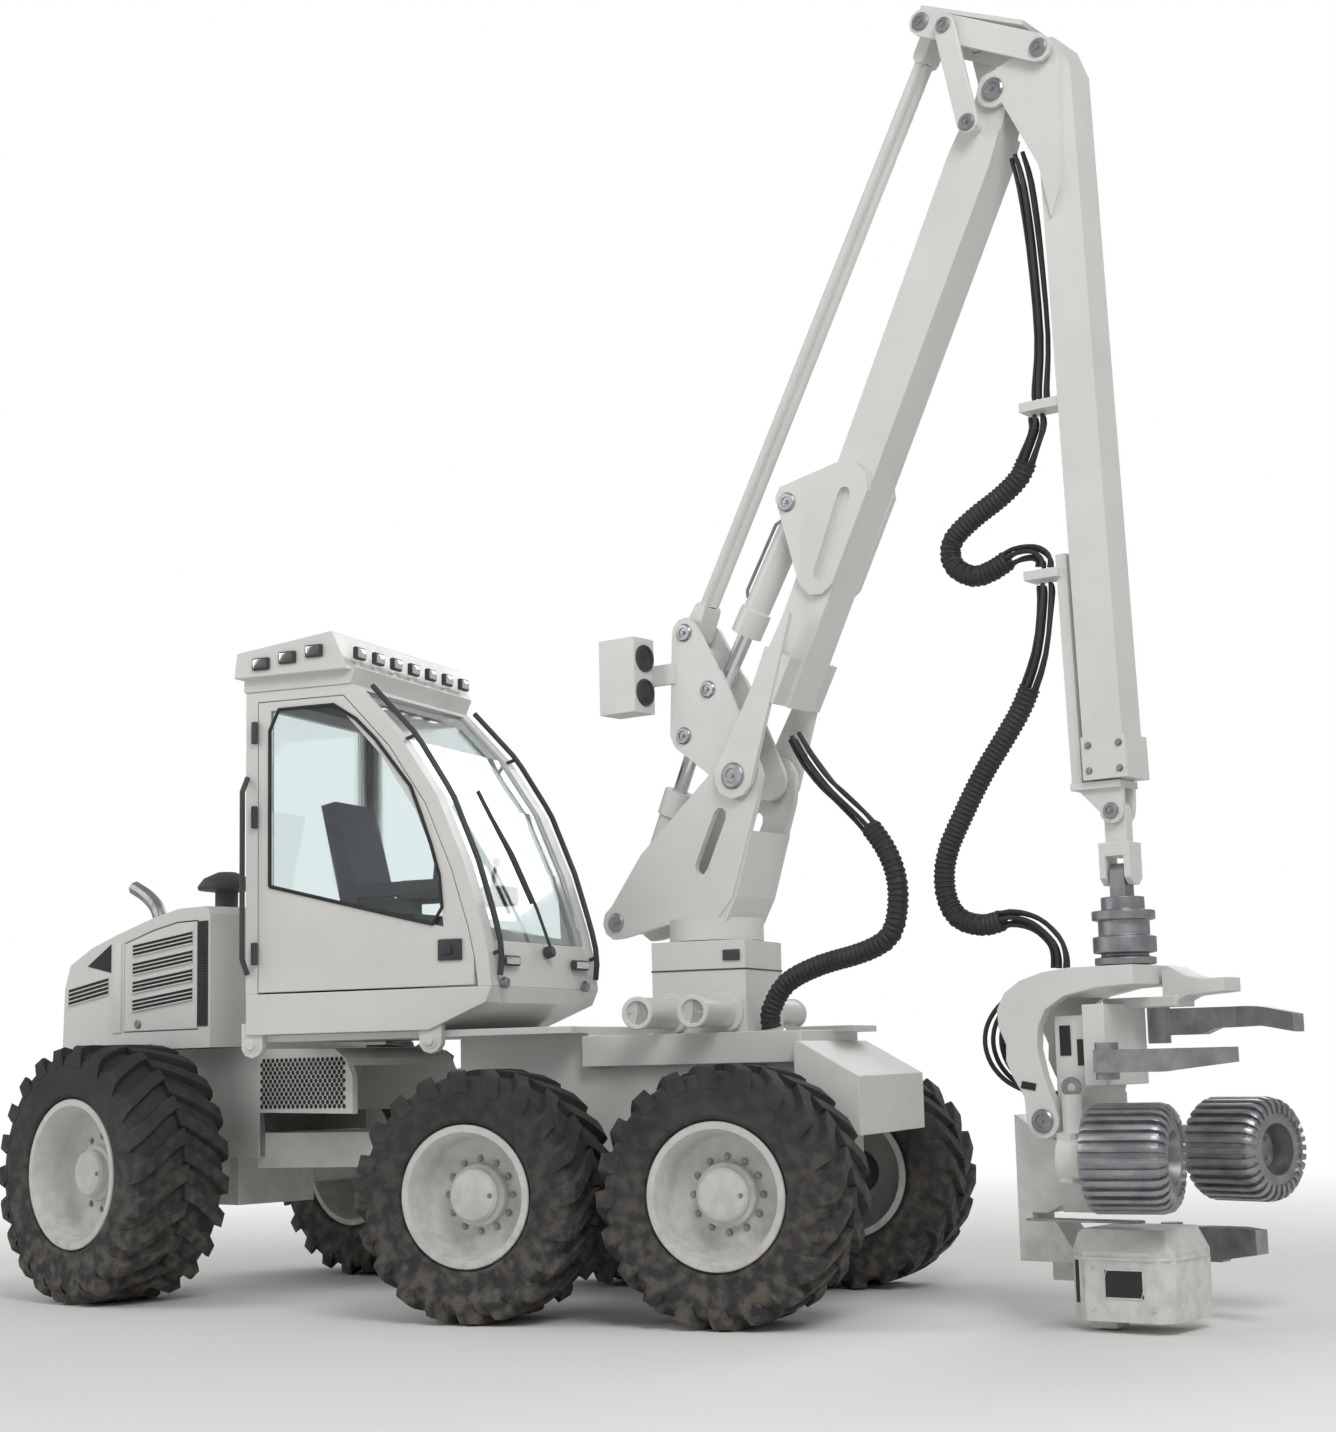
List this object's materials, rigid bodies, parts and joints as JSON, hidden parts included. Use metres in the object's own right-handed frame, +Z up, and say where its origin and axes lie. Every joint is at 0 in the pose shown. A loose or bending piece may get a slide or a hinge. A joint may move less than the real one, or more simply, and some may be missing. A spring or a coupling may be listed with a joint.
{
  "type": "forestry harvester",
  "caption": "Articulated forestry harvester on wheels, with a tilted-glass cab, a parallel crane with a sliding boom, and a felling head with feed rollers, knives and a saw.",
  "frame": {"origin": "on the ground, under the middle of the box around the whole machine as posed, hoses left out", "axes": "+X forward along the front frame, +Y to the left, +Z up"},
  "size_m": [7.994, 3.4813, 7.075],
  "materials": {
    "paint": "satin",
    "dark": "matte",
    "tyre": "matte",
    "rim": "satin",
    "steel": "worn",
    "chrome": "polished",
    "glass": "clear",
    "hose": "matte",
    "seat": "matte"
  },
  "bodies": {
    "front": {"front_frame": "paint", "bogie_right": "dark", "bogie_left": "dark", "slew_housing": "paint", "cab_floor": "paint", "cab_frame": "paint", "cab_roof": "paint", "left_glass": "glass", "rear_glass": "glass", "windshield": "glass", "operator_seat": "seat"},
    "cab_door": {"cab_door": "paint", "door_glass": "glass"},
    "rear": {"rear_frame": "paint", "engine_block": "dark", "engine_hood": "paint", "exhaust_pipe": "steel", "air_intake": "dark"},
    "hood_door": {"hood_door": "paint"},
    "crane_base": {"pillar": "paint", "hose_base": "hose"},
    "base_link": {"base_link": "paint"},
    "lift_barrel": {"lift_barrel": "paint"},
    "lift_rod": {"lift_rod": "chrome"},
    "main_boom": {"main_boom": "paint", "hose_knuckle": "hose"},
    "reach_barrel": {"reach_barrel": "paint"},
    "reach_rod": {"reach_rod": "chrome"},
    "parallel_rods": {"parallel_rods": "paint"},
    "short_link": {"short_link": "paint"},
    "top_link": {"top_link": "paint"},
    "outer_boom": {"outer_boom": "paint", "hose_stick": "hose"},
    "extension": {"extension_boom": "paint", "hose_head": "hose"},
    "swing_link": {"swing_link": "paint"},
    "rotator": {"rotator": "steel"},
    "head_yoke": {"head_yoke": "paint"},
    "head_frame": {"head_frame": "paint", "saw_box": "paint"},
    "feed_arm_right": {"feed_arm_right": "paint"},
    "feed_arm_left": {"feed_arm_left": "paint"},
    "feed_roller_right": {"feed_roller_right": "steel"},
    "feed_roller_left": {"feed_roller_left": "steel"},
    "knife_right": {"knife_right": "steel"},
    "knife_left": {"knife_left": "steel"},
    "knife_lower": {"knife_lower": "steel"},
    "saw_bar": {"saw_bar": "steel"},
    "wheel_front_right": {"tyre_front_right": "tyre", "rim_front_right": "rim"},
    "wheel_front_left": {"tyre_front_left": "tyre", "rim_front_left": "rim"},
    "wheel_middle_right": {"tyre_middle_right": "tyre", "rim_middle_right": "rim"},
    "wheel_middle_left": {"tyre_middle_left": "tyre", "rim_middle_left": "rim"},
    "wheel_rear_right": {"tyre_rear_right": "tyre", "rim_rear_right": "rim"},
    "wheel_rear_left": {"tyre_rear_left": "tyre", "rim_rear_left": "rim"}
  },
  "joints": [
    {"name": "wheel_front_right_spin", "type": "hinge", "parent": "front", "child": "wheel_front_right", "pos_m": [1.148, -1.3676, 0.66175], "axis": [0, 1, 0], "continuous": true},
    {"name": "wheel_front_left_spin", "type": "hinge", "parent": "front", "child": "wheel_front_left", "pos_m": [1.148, 0.7224, 0.66175], "axis": [0, 1, 0], "continuous": true},
    {"name": "wheel_middle_right_spin", "type": "hinge", "parent": "front", "child": "wheel_middle_right", "pos_m": [-0.264, -1.3676, 0.66175], "axis": [0, 1, 0], "continuous": true},
    {"name": "wheel_middle_left_spin", "type": "hinge", "parent": "front", "child": "wheel_middle_left", "pos_m": [-0.264, 0.7224, 0.66175], "axis": [0, 1, 0], "continuous": true},
    {"name": "wheel_rear_right_spin", "type": "hinge", "parent": "rear", "child": "wheel_rear_right", "pos_m": [-3.0728, -0.80606, 0.76052], "axis": [0.342, 0.9397, 0], "continuous": true},
    {"name": "wheel_rear_left_spin", "type": "hinge", "parent": "rear", "child": "wheel_rear_left", "pos_m": [-2.33745, 1.21428, 0.76052], "axis": [0.342, 0.9397, 0], "continuous": true},
    {"name": "articulation", "type": "hinge", "parent": "front", "child": "rear", "pos_m": [-1.258, -0.3226, 0.86], "axis": [0, 0, -1], "range_deg": [-58, 18]},
    {"name": "cab_door_hinge", "type": "hinge", "parent": "front", "child": "cab_door", "pos_m": [-1.898, -1.0576, 1.8], "axis": [0, 0, -1], "range_deg": [0, 80]},
    {"name": "hood_door_hinge", "type": "hinge", "parent": "rear", "child": "hood_door", "pos_m": [-2.63068, -0.56791, 1.9], "axis": [0, 0, 1], "range_deg": [0, 70]},
    {"name": "slew", "type": "hinge", "parent": "front", "child": "crane_base", "pos_m": [0.692, -0.3226, 2.05], "axis": [0, 0, 1], "range_deg": [-95, 125]},
    {"name": "lift", "type": "hinge", "parent": "crane_base", "child": "base_link", "pos_m": [1.0011, -0.40542, 2.91], "axis": [0.2588, 0.9659, 0], "range_deg": [-20, 5]},
    {"name": "lift_barrel_hinge", "type": "hinge", "parent": "crane_base", "child": "lift_barrel", "pos_m": [0.14142, -0.17507, 2.14], "axis": [0.2588, 0.9659, 0], "range_deg": [-1.5, 1]},
    {"name": "lift_rod_slide", "type": "slide", "parent": "lift_barrel", "child": "lift_rod", "axis": [0.3946, -0.1057, 0.9127], "range_m": [-0.19, 0.06]},
    {"name": "reach", "type": "hinge", "parent": "base_link", "child": "main_boom", "pos_m": [1.0011, -0.40542, 2.91], "axis": [0.2588, 0.9659, 0], "range_deg": [-2, 38], "deforming": ["hose_base"]},
    {"name": "reach_barrel_hinge", "type": "hinge", "parent": "main_boom", "child": "reach_barrel", "pos_m": [1.34883, -0.4986, 4.435], "axis": [0.2588, 0.9659, 0], "range_deg": [-1, 6]},
    {"name": "reach_rod_slide", "type": "slide", "parent": "reach_barrel", "child": "reach_rod", "axis": [-0.4988, 0.1337, -0.8564], "range_m": [-0.03, 0.4]},
    {"name": "parallel_rods_hinge", "type": "hinge", "parent": "base_link", "child": "parallel_rods", "pos_m": [0.61473, -0.30189, 3.79], "axis": [0.2588, 0.9659, 0], "range_deg": [-3, 41]},
    {"name": "short_link_hinge", "type": "hinge", "parent": "main_boom", "child": "short_link", "pos_m": [2.59487, -0.83247, 6.31], "axis": [0.2588, 0.9659, 0], "range_deg": [-52, 4]},
    {"name": "top_link_hinge", "type": "hinge", "parent": "short_link", "child": "top_link", "pos_m": [2.47896, -0.80142, 6.9], "axis": [0.2588, 0.9659, 0], "range_deg": [-2, 2]},
    {"name": "stick", "type": "hinge", "parent": "main_boom", "child": "outer_boom", "pos_m": [2.71078, -0.86353, 6.49], "axis": [0.2588, 0.9659, 0], "range_deg": [-84, 6], "deforming": ["hose_knuckle"]},
    {"name": "extension_slide", "type": "slide", "parent": "outer_boom", "child": "extension", "axis": [0.0241, -0.0065, -0.9997], "range_m": [0, 1.5], "deforming": ["hose_stick"]},
    {"name": "link_swing", "type": "hinge", "parent": "extension", "child": "swing_link", "pos_m": [3.14545, -0.98, 2.54], "axis": [0.2588, 0.9659, 0], "range_deg": [-35, 12], "deforming": ["hose_head"]},
    {"name": "cross_swing", "type": "hinge", "parent": "swing_link", "child": "rotator", "pos_m": [3.14545, -0.98, 2.223], "axis": [0.9659, -0.2588, 0], "range_deg": [-25, 25]},
    {"name": "rotator_turn", "type": "hinge", "parent": "rotator", "child": "head_yoke", "pos_m": [3.14545, -0.98, 1.88], "axis": [0, 0, 1], "continuous": true},
    {"name": "head_tilt", "type": "hinge", "parent": "head_yoke", "child": "head_frame", "pos_m": [2.78806, -0.88424, 1], "axis": [0.2588, 0.9659, 0], "range_deg": [0, 90]},
    {"name": "feed_arm_right_hinge", "type": "hinge", "parent": "head_frame", "child": "feed_arm_right", "pos_m": [2.8792, -1.1623, 0.83], "axis": [0, 0, -1], "range_deg": [0, 35]},
    {"name": "feed_roller_right_spin", "type": "hinge", "parent": "feed_arm_right", "child": "feed_roller_right", "pos_m": [2.91427, -1.4564, 0.83], "axis": [0.9986, -0.0523, 0], "continuous": true},
    {"name": "knife_right_hinge", "type": "hinge", "parent": "head_frame", "child": "knife_right", "pos_m": [3.08712, -1.27495, 1.4], "axis": [0, 0, 1], "range_deg": [0, 35]},
    {"name": "feed_arm_left_hinge", "type": "hinge", "parent": "head_frame", "child": "feed_arm_left", "pos_m": [3.00602, -0.689, 0.83], "axis": [0, 0, 1], "range_deg": [0, 35]},
    {"name": "feed_roller_left_spin", "type": "hinge", "parent": "feed_arm_left", "child": "feed_roller_left", "pos_m": [3.33559, -0.34767, 0.83], "axis": [0.8746, -0.4848, 0], "continuous": true},
    {"name": "knife_left_hinge", "type": "hinge", "parent": "head_frame", "child": "knife_left", "pos_m": [3.24242, -0.6954, 1.4], "axis": [0, 0, -1], "range_deg": [0, 35]},
    {"name": "knife_lower_hinge", "type": "hinge", "parent": "head_frame", "child": "knife_lower", "pos_m": [3.26104, -0.7418, 0.4], "axis": [0, 0, -1], "range_deg": [0, 30]},
    {"name": "saw_bar_hinge", "type": "hinge", "parent": "head_frame", "child": "saw_bar", "pos_m": [3.17475, -1.25702, 0.518], "axis": [0, 0, -1], "range_deg": [0, 95]}
  ],
  "couplings": [
    {"joint": "lift_barrel_hinge", "follows": "lift", "ratio": 0.04},
    {"joint": "lift_rod_slide", "follows": "lift", "m_per_rad": 0.5},
    {"joint": "reach_barrel_hinge", "follows": "reach", "ratio": 0.12},
    {"joint": "reach_rod_slide", "follows": "reach", "m_per_rad": 0.55},
    {"joint": "parallel_rods_hinge", "follows": "reach", "ratio": 1.018},
    {"joint": "short_link_hinge", "follows": "reach", "ratio": -1.31},
    {"joint": "top_link_hinge", "follows": "reach", "ratio": -0.02},
    {"joint": "stick", "follows": "reach", "ratio": -2.15},
    {"joint": "feed_arm_left_hinge", "follows": "feed_arm_right_hinge", "ratio": 1},
    {"joint": "knife_left_hinge", "follows": "knife_right_hinge", "ratio": 1}
  ]
}
